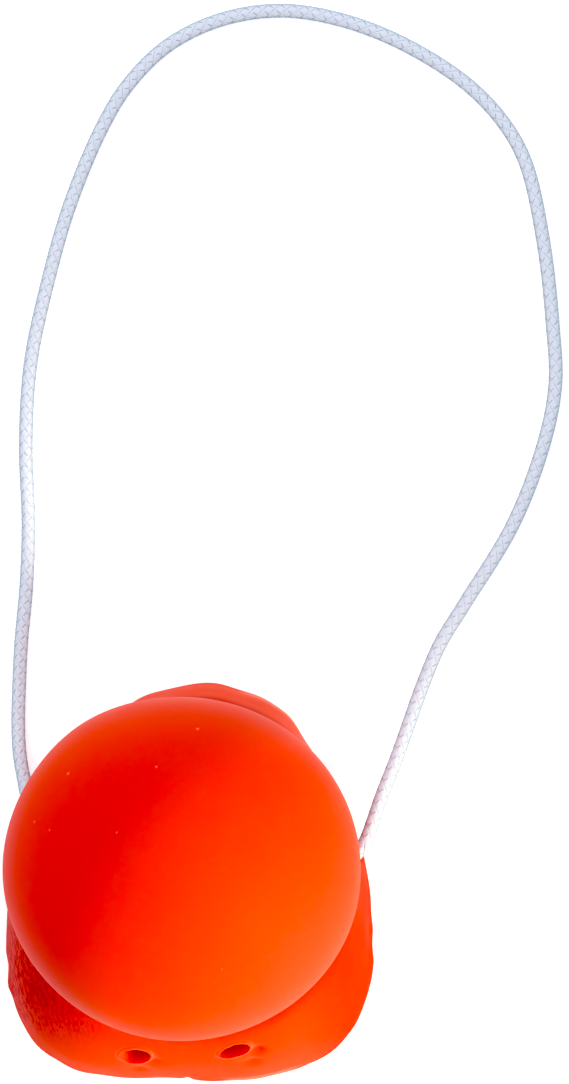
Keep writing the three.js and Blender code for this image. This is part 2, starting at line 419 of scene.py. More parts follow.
    def material(self) -> bpy.types.Material:
        """Builds the latex.

        Returns:
            The material.
        """
        material, tree, shader = new_shader(
            "slip_cast_latex",
            {
                "Roughness": self.roughness, "IOR": self.ior, "Specular IOR Level": self.specular,
                "Sheen Roughness": self.sheen_roughness, "Sheen Tint": linear(self.sheen),
                "Subsurface Weight": self.scatter, "Subsurface Radius": self.scatter_colours,
                "Subsurface Scale": self.scatter_mm * MM,
            },
        )
        place = add_node(tree, "ShaderNodeTexCoord").outputs["Object"]
        parts = add_node(tree, "ShaderNodeSeparateXYZ", inputs={0: place}).outputs
        grain_and_shade = self._within(tree, parts, self.grain_and_shade_zones)
        turned = add_node(
            tree, "ShaderNodeMapping",
            inputs={
                "Vector": place, "Rotation": (0.0, 0.0, math.radians(self.grain_turn)),
                "Scale": self.grain_stretch,
            },
        )
        streaks = noise(tree, turned.outputs[0], 1 / (self.grain_mm * MM), 3.0, 0.6, 0.4)
        on_base = zone(tree, parts["Z"], *self.base_zone)
        sheen = ramp(tree, on_base, (0.0, 1.0), self.sheen_shares, smooth=False)
        colour = self._colour(tree, place, parts, on_base, grain_and_shade, streaks)
        tree.links.new(colour, shader.inputs["Base Color"])
        tree.links.new(self._relief(tree, place, grain_and_shade, streaks), shader.inputs["Normal"])
        tree.links.new(sheen, shader.inputs["Sheen Weight"])
        return material

    def _within(self, tree: Tree, parts: Any, zones: Zones) -> Socket:
        """Finds where a place is inside all of some zones.

        Args:
            tree: The material's tree.
            parts: The place's X, Y and Z.
            zones: The zones.

        Returns:
            The share, 0 to 1.
        """
        return product(tree, *(zone(tree, parts[axis], off, on) for axis, off, on in zones))

    def _colour(
        self, tree: Tree, place: Socket, parts: Any, on_base: Socket, grain_and_shade: Socket, streaks: Socket
    ) -> Socket:
        """Mottles the pigment, and lays on it the painted shade, highlights, sheens and reflection, the
        grain and the specks.

        Args:
            tree: The material's tree.
            place: Object coordinates.
            parts: Their X, Y and Z.
            on_base: Where the base is, 0 to 1.
            grain_and_shade: Where the grain and its painted shade are, 0 to 1.
            streaks: The streaks' noise.

        Returns:
            The colour.
        """
        on_ball = zone(tree, parts["Z"], *self.ball_zone)
        # Painted shade on the base towards +X.
        painted_flank_shade = zone(tree, parts["X"], *self.flank_shade_zone)
        off_ball = [self.ball_radius + reach for reach in self.crease_zone]
        # Painted shade: darker on the base near the foot of the ball.
        crease = zone(tree, distance(tree, place, self.ball_centre), *off_ball)
        dark = ramp(tree, streaks, self.streak_ends, self.streak_shares, smooth=False)
        layers = [
            (on_base, self.base),
            (product(tree, on_base, painted_flank_shade, self.flank_shade_share), self.painted_flank_shade),
            (product(tree, on_base, crease, self.crease_shade_share), self.painted_crease_shade),
            # The grained zone: grain, and painted shade under the ball.
            (product(tree, grain_and_shade, self.grain_and_shade_share), self.grain_and_shade),
            (product(tree, grain_and_shade, dark), self.streak),
        ]
        # Painted highlight along two stretches of the trimmed edge.
        for edge in self.edge_light_zones:
            layers.append((product(tree, self._within(tree, parts, edge), self.edge_light_share), self.painted_edge_light))
        # The painted sheen fades on the side towards the key light.
        across = add_node(
            tree, "ShaderNodeVectorMath", {"operation": "DOT_PRODUCT"}, {0: place, 1: self.sheen_fade_way},
        ).outputs["Value"]
        sheen_fade_ends = tuple(end * MM for end in self.sheen_fade_ends)
        sheen_fade = ramp(tree, across, sheen_fade_ends, self.sheen_fade_shares, smooth=False)
        # Painted sheen where the skin is seen at a slant.
        facing = add_node(tree, "ShaderNodeLayerWeight", inputs={"Blend": 0.5}).outputs["Facing"]
        painted_rim_sheen = ramp(tree, facing, self.rim_sheen_slant, (0.0, self.rim_sheen_share))
        # Painted reflection on the shade side, where it is seen at a slant.
        painted_shade_side_reflection = ramp(tree, facing, self.shade_side_reflection_slant, (0.0, self.shade_side_reflection_share))
        # Painted sheen on the top end of the ball, where it is seen at a slant.
        painted_top_sheen = ramp(tree, facing, self.top_sheen_slant, (0.0, self.top_sheen_share))
        on_shade_side = [zone(tree, value, *ends) for value, ends in zip((across, parts["Y"]), self.shade_side_zones)]
        # Painted highlight on the nostrils' lips.
        lip = add_node(tree, "ShaderNodeAttribute", {"attribute_name": "lip"}).outputs["Fac"]
        layers += [
            (product(tree, painted_shade_side_reflection, on_ball, *on_shade_side), self.painted_shade_side_reflection),
            (product(tree, painted_rim_sheen, sheen_fade), self.painted_rim_sheen),
            (product(tree, painted_top_sheen, on_ball, zone(tree, parts["Y"], *self.top_sheen_zone)), self.painted_rim_sheen),
            (product(tree, lip, self.lip_share), self.painted_edge_light),
        ]
        for *middle, radius in self.specks:
            edge = [radius * share for share in self.speck_edge]
            spot = zone(tree, distance(tree, place, middle), *edge)
            layers.append((product(tree, spot, self.speck_share), self.speck))
        mottle = noise(tree, place, 1 / (self.mottle_mm * MM), 4.0)
        colour = mixed(tree, mottle, linear(self.colour), linear(self.mottled))
        for share, over in layers:
            colour = mixed(tree, share, colour, linear(over))
        return colour

    def _relief(self, tree: Tree, place: Socket, grain_and_shade: Socket, streaks: Socket) -> Socket:
        """Raises the streaks where the grain is, over fine pores everywhere.

        Args:
            tree: The material's tree.
            place: Object coordinates.
            grain_and_shade: Where the grain is, and its painted shade, 0 to 1.
            streaks: The streaks' noise.

        Returns:
            The bumped normal.
        """
        pores = noise(tree, place, 1 / (self.pore_mm * MM), 2.0)
        fine = add_node(
            tree, "ShaderNodeBump",
            inputs={"Height": pores, "Distance": self.pore_depth_mm * MM, "Strength": 0.4},
        )
        coarse = add_node(
            tree, "ShaderNodeBump",
            inputs={
                "Height": streaks, "Distance": self.grain_height_mm * MM, "Strength": grain_and_shade,
                "Normal": fine.outputs[0],
            },
        )
        return coarse.outputs[0]


@dataclass(frozen=True)
class BraidedElastic:
    """White polyester yarn braided round a rubber core.

    The yarns are soft bundles of fine filaments. Light sinks in between them, so they are matte,
    white with a little lavender. Painted shade greys them where they turn away from the eye.
    """

    colour: str = "#dee2e9"
    shade: str = "#c8ced6"
    # Painted shade: a cool grey where the yarn turns away from the eye.
    turned: str = "#93a7b2"
    edge_shade_slant: tuple[float, float] = (0.1, 0.85)
    edge_shade_share: float = 0.9
    roughness: float = 0.85
    ior: float = 1.5
    specular: float = 0.1
    filaments: float = 7.0
    filament_height_mm: float = 0.05

    def material(self) -> bpy.types.Material:
        """Builds the yarn.

        Returns:
            The material.
        """
        material, tree, shader = new_shader(
            "braided_polyester_yarn",
            {"Roughness": self.roughness, "IOR": self.ior, "Specular IOR Level": self.specular},
        )
        yarn = add_node(tree, "ShaderNodeAttribute", {"attribute_name": "yarn"}).outputs["Vector"]
        across = add_node(
            tree, "ShaderNodeMapping", inputs={"Vector": yarn, "Scale": (0.6 / MM, self.filaments, 1.0)},
        )
        threads = noise(tree, across.outputs[0], 1.0, 3.0, 0.6)
        colour = mixed(tree, threads, linear(self.shade), linear(self.colour))
        # Painted shade: the yarn is greyed where it is seen at a slant.
        facing = add_node(tree, "ShaderNodeLayerWeight", inputs={"Blend": 0.5}).outputs["Facing"]
        away = ramp(tree, facing, self.edge_shade_slant, (0.0, self.edge_shade_share))
        colour = mixed(tree, away, colour, linear(self.turned))
        bump = add_node(
            tree, "ShaderNodeBump",
            inputs={"Height": threads, "Distance": self.filament_height_mm * MM, "Strength": 0.7},
        )
        tree.links.new(colour, shader.inputs["Base Color"])
        tree.links.new(bump.outputs[0], shader.inputs["Normal"])
        return material


@dataclass(frozen=True)
class PaperSweep:
    """Matte white translucent background paper on a light table, so shadows on it stay faint."""

    colour: str = "#e7e7e7"
    glow: float = 0.38
    roughness: float = 0.95
    specular: float = 0.1

    def material(self) -> bpy.types.Material:
        """Builds the paper.

        Returns:
            The material.
        """
        return new_shader(
            "white_background_paper",
            {
                "Base Color": linear(self.colour), "Roughness": self.roughness,
                "Specular IOR Level": self.specular, "Emission Color": linear("#ffffff"),
                "Emission Strength": self.glow,
            },
        )[0]


# Meshes


def add_object(name: str, data: bpy.types.ID) -> Object:
    """Puts an object at the origin of the scene.

    Args:
        name: The object's name.
        data: Its mesh, curve, light or camera.

    Returns:
        The object.
    """
    made = bpy.data.objects.new(name, data)
    bpy.context.scene.collection.objects.link(made)
    return made


def mesh_object(name: str, points: Array, faces: Faces) -> Object:
    """Makes a smooth mesh object at the origin.

    Args:
        name: The object's name.
        points: Its vertices in millimetres, one a row.
        faces: Its faces as vertex numbers.

    Returns:
        The object.
    """
    mesh = bpy.data.meshes.new(name)
    mesh.from_pydata((points * MM).tolist(), [], faces)
    mesh.validate()
    mesh.shade_smooth()
    return add_object(name, mesh)


def settle(piece: Object) -> None:
    """Applies the piece's modifiers to its mesh and removes them.

    Args:
        piece: The object, whose mesh is replaced.
    """
    seen = piece.evaluated_get(bpy.context.evaluated_depsgraph_get())
    mesh = bpy.data.meshes.new_from_object(seen)
    piece.modifiers.clear()
    piece.data = mesh


def combine(piece: Object, operation: str, bodies: list[Body]) -> None:
    """Joins closed bodies to a piece, or cuts them out of it.

    Args:
        piece: The piece, whose mesh is replaced.
        operation: "UNION" or "DIFFERENCE".
        bodies: Each body's points, in millimetres, and faces. They don't touch each other.
    """
    points, faces = [], []
    for body, body_faces in bodies:
        start = sum(len(earlier) for earlier in points)
        points.append(body)
        faces += [tuple(start + corner for corner in face) for face in body_faces]
    tool = mesh_object(f"{piece.name}_tool", np.vstack(points), faces)
    step = piece.modifiers.new("combine", "BOOLEAN")
    step.operation = operation
    step.solver = "EXACT"
    step.object = tool
    settle(piece)
    bpy.data.objects.remove(tool)


def weld(piece: Object) -> None:
    """Splits the many-sided faces that cuts leave into triangles and closes up their tiny edges.

    Args:
        piece: The object, whose mesh is changed.
    """
    work = bmesh.new()
    work.from_mesh(piece.data)
    bmesh.ops.triangulate(work, faces=[face for face in work.faces if len(face.verts) > 4])
    bmesh.ops.remove_doubles(work, verts=work.verts, dist=WELD * MM)
    bmesh.ops.dissolve_degenerate(work, dist=WELD * MM, edges=work.edges)
    bmesh.ops.triangulate(work, faces=work.faces)
    work.to_mesh(piece.data)
    work.free()


def wear(piece: Object, material: bpy.types.Material, slot: str, *nodes: str) -> None:
    """Dresses a finished piece and ties it to the frame.

    Args:
        piece: The piece, at the origin.
        material: What it is made of.
        slot: The record's material slot; not used.
        *nodes: The CAD nodes that it stands for.
    """
    piece.data.materials.clear()
    piece.data.materials.append(material)
    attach(piece, "root")
    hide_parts(*nodes)
    log.info("%s: %d vertices", piece.name, len(piece.data.vertices))


# The latex nose


@dataclass(frozen=True)
class NoseForm:
    """The nose's outside and inside as curves round the ball's axis, in millimetres."""

    wall: float = 1.5
    ball_width: float = 50.5
    ball_length: float = 48.3
    ball_depth: float = 50.0
    ball_shift: tuple[float, float] = (1.6, 4.0)
    # Where the ball is fuller than an ellipsoid: the azimuth and the width in degrees, and how much.
    fullness: tuple[float, float, float] = (125.0, 20.0, 0.42)
    ball_sink: float = 12.8
    base_width: float = 54.4
    base_length: float = 58.4
    base_height: float = 14.8
    shoulder_share: float = 0.38
    shoulder_pull: float = 0.62
    crease_fillet: float = 0.9
    rim_arch: float = 1.5
    # The rim seen from the front, as shares of half the base's width and length, and of the arch.
    outline: tuple[tuple[float, float, float], ...] = (
        (0.14, 1.0, 0.0), (0.31, 0.96, 0.0), (0.491, 0.882, 0.3), (0.653, 0.707, 0.8),
        (0.82, 0.42, 1.0), (0.955, 0.14, 0.7), (1.0, -0.3, 0.15), (0.99, -0.5, 0.0),
        (0.92, -0.69, 0.0), (0.79, -0.85, 0.0), (0.4, -0.985, 0.3), (-0.03, -0.995, 0.6),
        (-0.45, -0.99, 0.3), (-0.7, -0.925, 0.0), (-0.87, -0.79, 0.0), (-0.965, -0.58, 0.0),
        (-1.0, -0.28, 0.15), (-0.94, 0.1, 0.7), (-0.81, 0.38, 1.0), (-0.62, 0.63, 0.8),
        (-0.41, 0.82, 0.3), (-0.19, 0.955, 0.0),
    )

    @property
    def ball_height(self) -> float:
        """The ball's middle above the surface, in millimetres."""
        return self.base_height + self.ball_depth / 2 - self.ball_sink

    def rim(self, azimuth: Array) -> tuple[Array, Array]:
        """The rim's reach from the ball's axis and its lift off the surface.

        Args:
            azimuth: Angles round the ball's axis, in radians.

        Returns:
            The reach and the lift at each.
        """
        line = through_points([(x, y, lift * self.rim_arch) for x, y, lift in self.outline], True, 1440)
        low, high = line.min(axis=0), line.max(axis=0)
        span = np.array([self.base_width, self.base_length])
        flat = (line[:, :2] - (low[:2] + high[:2]) / 2) / (high[:2] - low[:2]) * span
        flat -= np.array(self.ball_shift)
        angles = np.arctan2(flat[:, 1], flat[:, 0])
        order = np.argsort(angles)
        reach = np.interp(azimuth, angles[order], np.hypot(*flat.T)[order], period=2 * math.pi)
        lift = np.interp(azimuth, angles[order], np.maximum(line[order, 2], 0.0), period=2 * math.pi)
        return reach, lift

    def section(self, azimuth: float, inset: float, rows: dict[str, int]) -> Array:
        """One section from the ball's pole to the rim.

        Args:
            azimuth: Where it is, in radians round the ball's axis.
            inset: How far it is set into the wall.
            rows: How many steps the ball, the crease and the side wall get.

        Returns:
            Its reach and height at each step.
        """
        reach, lift = (float(v[0]) for v in self.rim(np.array([azimuth])))
        return self.section_to(azimuth, reach, lift, inset, rows)

    def section_to(
        self, azimuth: float, reach: float, lift: float, inset: float, rows: dict[str, int]
    ) -> Array:
        """One section from the ball's pole to a known point of the rim.

        Args:
            azimuth: Where it is, in radians round the ball's axis.
            reach: The rim's reach there.
            lift: The rim's lift there.
            inset: How far the section is set into the wall.
            rows: How many steps the ball, the crease and the side wall get.

        Returns:
            Its reach and height at each step.
        """
        across = math.cos(azimuth) / (self.ball_width / 2)
        along = math.sin(azimuth) / (self.ball_length / 2)
        where, width, swell = self.fullness
        beside = math.cos(azimuth - math.radians(where)) - 1
        fuller = swell * math.exp(beside * 2 / math.radians(width) ** 2)
        half = np.array([1 / math.hypot(across, along) + fuller - inset, self.ball_depth / 2 - inset])
        crease_height = self.base_height - inset / 2
        crease_angle = math.acos((crease_height - self.ball_height) / half[1])
        crease = np.array([half[0] * math.sin(crease_angle), crease_height])
        foot = np.array([reach - inset, lift])
        shoulder_reach = foot[0] + self.shoulder_share * (crease[0] - foot[0])
        shoulder = np.array([shoulder_reach, self.base_height - inset])
        high, low = (end + self.shoulder_pull * (shoulder - end) for end in (crease, foot))
        t = np.linspace(0, 1, 241)[:, None]
        wall = (1 - t) ** 3 * crease + 3 * (1 - t) ** 2 * t * high + 3 * (1 - t) * t**2 * low + t**3 * foot
        run = np.concatenate([[0], np.cumsum(np.linalg.norm(np.diff(wall, axis=0), axis=1))])
        steps = np.linspace(self.crease_fillet, run[-1], rows["wall"] + 1)
        side = np.stack([np.interp(steps, run, wall[:, i]) for i in range(2)], axis=1)
        angles = np.linspace(0, crease_angle - self.crease_fillet / half[1], rows["ball"] + 1)
        arc = np.stack([half[0] * np.sin(angles), self.ball_height + half[1] * np.cos(angles)], axis=1)
        s = np.linspace(0, 1, rows["crease"] + 1)[1:-1, None]
        bend = (1 - s) ** 2 * arc[-1] + 2 * (1 - s) * s * crease + s**2 * side[0]
        return np.vstack([arc, bend, side])

    def around(self, azimuth: Array, section: Array) -> Array:
        """Places reach and height at an azimuth round the ball's axis.

        Args:
            azimuth: In radians.
            section: Reach and height, one pair a row.

        Returns:
            The points.
        """
        x = self.ball_shift[0] + section[..., 0] * np.cos(azimuth)
        y = self.ball_shift[1] + section[..., 0] * np.sin(azimuth)
        return np.stack([x, y, section[..., 1]], axis=-1)

    def wall_point(self, azimuth: float, height: float, inset: float = 0.0) -> Array:
        """The point of the side wall at an azimuth and height.

        Args:
            azimuth: In radians round the ball's axis.
            height: Above the surface.
            inset: How far it is set into the wall.

        Returns:
            The point.
        """
        section = self.section(azimuth, inset, {"ball": 4, "crease": 2, "wall": 200})[6:]
        reach = np.interp(-height, -section[:, 1], section[:, 0])
        return self.around(azimuth, np.array([reach, height]))

    def outward(self, azimuth: float, height: float) -> Array:
        """The way square out of the side wall.

        Args:
            azimuth: In radians round the ball's axis.
            height: Above the surface.

        Returns:
            The unit vector.
        """
        across = self.wall_point(azimuth + 0.02, height) - self.wall_point(azimuth - 0.02, height)
        up = self.wall_point(azimuth, height + 0.3) - self.wall_point(azimuth, height - 0.3)
        normal = np.cross(across, up)
        return normal / np.linalg.norm(normal)


@dataclass(frozen=True)
class Hole:
    """A round hole through the wall, in millimetres, with the lips that the latex dries into."""

    centre: Array
    axis: Array
    normal: Array
    radius: float
    thickness: float
    lip: float = 0.0
    squash: float = 1.0
    tilt: float = 0.0

    def _frame(self, along: Array) -> tuple[Array, Array]:
        """Finds two directions square to another, the first one level.

        Args:
            along: The other direction.

        Returns:
            The two unit vectors.
        """
        first = np.cross(UP, along)
        first /= np.linalg.norm(first)
        return first, np.cross(along, first)

    def _bore(self, turn: Array, along: Array, out: Array | float = 0.0) -> Array:
        """The hole's slightly flat and uneven outline.

        Args:
            turn: Angles round it.
            along: The way square to the outline's plane.
            out: How far outside the hole's edge.

        Returns:
            The outline's points from its middle.
        """
        first, second = self._frame(along)
        phase = float(self.centre[0])
        reach = self.radius * (1 + 0.02 * np.sin(2 * turn + phase) + 0.025 * np.sin(3 * turn - phase)) + out
        tilt = math.radians(self.tilt)
        wide, tall = reach * np.cos(turn), (reach - (1 - self.squash) * self.radius) * np.sin(turn)
        level = wide * math.cos(tilt) - tall * math.sin(tilt)
        upward = wide * math.sin(tilt) + tall * math.cos(tilt)
        return level[..., None] * first + upward[..., None] * second

    def lips(self) -> list[Body]:
        """Rings that stand out a little round the hole, outside and inside the wall.

        Returns:
            Each ring's points and faces.
        """
        turn = np.linspace(0, 2 * math.pi, 90, endpoint=False)[:, None]
        round_tube = np.linspace(0, 2 * math.pi, 20, endpoint=False)
        rings = []
        for middle, tube, out in (
            (self.centre - (0.5 - self.lip) * self.normal, 0.5, 0.0),
            (self.centre - (self.thickness + 0.1) * self.normal, 0.6, 0.3),
        ):
            swell = tube * (1 + 0.05 * np.sin(5 * turn) + 0.04 * np.sin(8 * turn + 1.0))
            rise = swell * np.sin(round_tube)
            outline = self._bore(turn, self.normal, out + swell * np.cos(round_tube))
            points = middle + outline + rise[..., None] * self.normal
            count, sides = rise.shape
            faces = []
            for i in range(count):
                for j in range(sides):
                    k, m = (i + 1) % count, (j + 1) % sides
                    faces.append((i * sides + j, k * sides + j, k * sides + m, i * sides + m))
            rings.append((points.reshape(-1, 3), faces))
        return rings

    def lip_share(self, points: Array) -> Array:
        """How much of the lip is at each point.

        Args:
            points: The points.

        Returns:
            1 on the lip, falling to 0 beside it and down the bore.
        """
        offset = points - self.centre
        depth = offset @ self.normal
        first, second = self._frame(self.normal)
        tilt = math.radians(self.tilt)
        level, upward = offset @ first, offset @ second
        wide = level * math.cos(tilt) + upward * math.sin(tilt)
        tall = (upward * math.cos(tilt) - level * math.sin(tilt)) / self.squash
        reach = np.hypot(wide, tall)
        return ease(self.radius + 1.1, self.radius + 0.5, reach) * ease(-0.9, -0.4, depth)

    def cutter(self) -> Body:
        """A bar to cut the hole with.

        Returns:
            Its points and faces.
        """
        turn = np.linspace(0, 2 * math.pi, 72, endpoint=False)
        ring = self._bore(turn, self.axis)
        ends = [self.centre + ring + reach * self.axis for reach in (-4.0, 4.0)]
        count = len(turn)
        faces = [tuple(range(count))[::-1], tuple(range(count, 2 * count))]
        faces += [(i, (i + 1) % count, count + (i + 1) % count, count + i) for i in range(count)]
        return np.vstack(ends), faces


@dataclass
class LatexNose:
    """The hollow casting: ball and base in one skin, with nostrils and cord holes."""

    form: NoseForm = field(default_factory=NoseForm)
    finish: CastLatex = field(default_factory=CastLatex)
    nostril_width: float = 4.8
    nostril_spacing: float = 15.0
    nostril_heights: tuple[float, float] = (9.4, 10.8)
    nostril_azimuth: float = -92.0
    nostril_lip: float = 0.13
    # Each nostril's height as a share of its width, and its tilt in degrees.
    nostril_shapes: tuple[tuple[float, float], ...] = ((0.8, 20.0), (0.6, 20.0))
    # Dents in the wall: the nostril, the degrees round and the height from it, the depth and width.
    dents: tuple[tuple[int, float, float, float, float], ...] = (
        (0, 5.4, -1.0, 0.4, 1.0), (0, 1.8, -3.6, 0.3, 1.2),
        (1, 6.3, -0.8, 0.75, 1.0), (1, 3.4, -3.2, 0.5, 1.1),
    )
    # How far the wall and the edge wander, and from crest to crest.
    warp: float = 0.08
    warp_length: float = 24.0
    ripple: float = 0.07
    ripple_length: float = 7.0
    trim_unevenness: float = 0.22
    trim_length: float = 8.0
    flash: float = 0.26
    flash_height: float = 1.0
    flash_length: float = 4.0
    # Slips of the scissors round the rim: the azimuth in degrees, the width and how far out.
    nicks: tuple[tuple[float, float, float], ...] = (
        (-92.8, 1.1, -0.3), (-88.0, 2.6, 0.1), (-150.0, 1.8, -0.25), (-145.3, 1.8, 0.35),
        (-31.0, 2.0, 0.1), (-23.0, 3.0, 0.25), (-47.0, 2.5, 0.1),
    )
    cord_hole_width: float = 2.7
    cord_hole_height: float = 6.0
    cord_lean: float = 38.0
    cord_holes: dict[Side, float] = field(default_factory=lambda: {Side.LEFT: 166.0, Side.RIGHT: 2.0})
    sharp_angle: float = 62.0
    columns: int = 250
    nostril_columns: int = 150
    # How far to each side of the nostrils' middle the closer columns go, in degrees.
    nostril_reach: float = 26.0
    outside: dict[str, int] = field(default_factory=lambda: {"ball": 58, "crease": 5, "wall": 76})
    inside: dict[str, int] = field(default_factory=lambda: {"ball": 22, "crease": 3, "wall": 24})

    def nostrils(self) -> list[Hole]:
        """Places the two nostril holes in the wall under the ball.

        Returns:
            The left and the right hole.
        """
        middle = math.radians(self.nostril_azimuth)
        point = self.form.wall_point(middle, self.nostril_heights[0])
        reach = np.hypot(*(point[:2] - np.array(self.form.ball_shift)))
        swing = math.atan(self.nostril_spacing / 2 / reach)
        holes = []
        shapes = iter(self.nostril_shapes)
        for turn, height in zip((-swing, swing), self.nostril_heights):
            centre = self.form.wall_point(middle + turn, height)
            inside = self.form.wall_point(middle + turn, height, self.form.wall)
            axis = self.form.outward(middle + turn, height)
            thickness = float((centre - inside) @ axis)
            squash, tilt = next(shapes)
            radius = self.nostril_width / 2
            holes.append(Hole(centre, axis, axis, radius, thickness, self.nostril_lip, squash, tilt))
        return holes

    def cord_exit(self, side: Side) -> Hole:
        """Places the hole that one end of the cord goes through.

        Args:
            side: Which end.

        Returns:
            The hole, whose axis points out of the nose.
        """
        azimuth = math.radians(self.cord_holes[side])
        centre = self.form.wall_point(azimuth, self.cord_hole_height)
        outward = self.form.outward(azimuth, self.cord_hole_height)
        lean = math.radians(self.cord_lean) * math.copysign(1, outward[0])
        heading = math.atan2(outward[1], outward[0]) + lean
        axis = np.array([math.cos(heading), math.sin(heading), 0.0])
        return Hole(centre, axis, outward, self.cord_hole_width / 2, self.form.wall)

    def _azimuths(self) -> Array:
        """Spaces the columns, closer together round the nostrils.

        Returns:
            Their azimuths, in radians.
        """
        middle, half = math.radians(self.nostril_azimuth), math.radians(self.nostril_reach)
        near = middle + np.linspace(-half, half, self.nostril_columns)
        far = np.linspace(near[-1], near[0] + 2 * math.pi, self.columns + 2)[1:-1]
        return np.concatenate([near, far])

    def _skin(self, inset: float, rows: dict[str, int], azimuths: Array) -> Array:
        """The grid of points of one face of the wall.

        Args:
            inset: 0 for the outside, the wall for the inside.
            rows: How many steps the ball, the crease and the side wall get.
            azimuths: The columns.

        Returns:
            Points by row and column.
        """
        reach, lift = self.form.rim(azimuths)
        columns = [
            self.form.around(a, self.form.section_to(a, r, z, inset, rows))
            for a, r, z in zip(azimuths, reach, lift)
        ]
        return np.stack(columns, axis=1)

    def _relief(self, grid: Array, azimuths: Array, nostrils: list[Hole]) -> Array:
        """Moves the outside's points to give it dents, unevenness and a hand-trimmed edge.

        Args:
            grid: The outside's points by row and column.
            azimuths: The columns.
            nostrils: The left and the right nostril.

        Returns:
            The moved points, by row and column.
        """
        along = np.gradient(grid, axis=0)
        across = np.roll(grid, -1, axis=1) - np.roll(grid, 1, axis=1)
        normal = np.cross(along, across)
        size = np.linalg.norm(normal, axis=2, keepdims=True)
        normal = np.where(size > 1e-9, normal / np.maximum(size, 1e-9), UP)
        points = grid.reshape(-1, 3)
        above = points[:, 2]
        height = self.warp * rolling(points, self.warp_length, SEED) * ease(0.0, 6.0, above)
        ripple = rolling(points, self.ripple_length, SEED + 1)
        height += self.ripple * ripple * ease(1.0, 5.0, above) * ease(16.0, 13.0, above)
        for which, turn, rise, depth, width in self.dents:
            x, y, z = nostrils[which].centre - np.array([*self.form.ball_shift, 0.0])
            dent = self.form.wall_point(math.atan2(y, x) + math.radians(turn), z + rise)
            height -= depth * np.exp(-((np.linalg.norm(points - dent, axis=1) / width) ** 2))
        moved = points + height[:, None] * normal.reshape(-1, 3)
        turn = np.broadcast_to(azimuths, grid.shape[:2]).reshape(-1)
        level = np.stack([np.cos(turn), np.sin(turn)], axis=1)
        flat = points * (1 - UP)
        trimmed = rolling(flat, self.trim_length, SEED + 2)
        shift = self.trim_unevenness * np.clip(trimmed, -1, 0.7) * ease(4.5, 0.5, above)
        degrees = np.degrees(turn)
        flash = ease(-93, -90, degrees) * ease(-62, -66, degrees) * ease(self.flash_height, 0.55, above)
        wave = 0.7 + 0.3 * rolling(flat, self.flash_length, SEED + 3)
        shift += self.flash * flash * wave
        for place, width, out in self.nicks:
            shift += out * np.exp(-(((degrees - place) / width) ** 2)) * ease(3.0, 0.5, above)
        moved[:, :2] += shift[:, None] * level
        return moved.reshape(grid.shape)

    def _mark_lips(self, piece: Object, nostrils: list[Hole]) -> None:
        """Writes where the nostrils' narrow lips are to the mesh as the attribute "lip", for a painted
        highlight.

        Args:
            piece: The nose, whose mesh gets the attribute.
            nostrils: The left and the right nostril.
        """
        mesh = piece.data
        points = np.empty(len(mesh.vertices) * 3)
        mesh.vertices.foreach_get("co", points)
        points = points.reshape(-1, 3) / MM
        marks = np.zeros(len(points))
        for nostril in nostrils:
            marks = np.maximum(marks, nostril.lip_share(points))
        mesh.attributes.new("lip", "FLOAT", "POINT").data.foreach_set("value", marks)

    def build(self) -> Object:
        """Builds and dresses the nose.

        Returns:
            The finished piece.
        """
        nostrils = self.nostrils()
        holes = [*nostrils, *(self.cord_exit(side) for side in Side)]
        azimuths = self._azimuths()
        turned = (azimuths + math.pi) % (2 * math.pi) - math.pi
        outer = self._relief(self._skin(0.0, self.outside, azimuths), turned, nostrils)
        inner = self._skin(self.form.wall, self.inside, azimuths)
        rings = [*outer[1:], *inner[:0:-1]]
        points = np.vstack([outer[0, :1], *rings, inner[0, :1]])
        count = len(azimuths)
        near = np.arange(count)
        far = (near + 1) % count
        faces = [(0, int(1 + a), int(1 + b)) for a, b in zip(near, far)]
        for ring in range(len(rings) - 1):
            start, below = 1 + ring * count, 1 + (ring + 1) * count
            for a, b in zip(near, far):
                faces.append((int(start + a), int(below + a), int(below + b), int(start + b)))
        last, pole = 1 + (len(rings) - 1) * count, len(points) - 1
        faces += [(int(last + a), pole, int(last + b)) for a, b in zip(near, far)]
        piece = mesh_object("latex_nose", points, faces)
        combine(piece, "UNION", [ring for nostril in nostrils for ring in nostril.lips()])
        combine(piece, "DIFFERENCE", [hole.cutter() for hole in holes])
        weld(piece)
        piece.data.shade_smooth()
        piece.data.set_sharp_from_angle(angle=math.radians(self.sharp_angle))
        self._mark_lips(piece, nostrils)
        wear(piece, self.finish.material(), "latex", "nose_shell")
        return piece


# The elastic cord


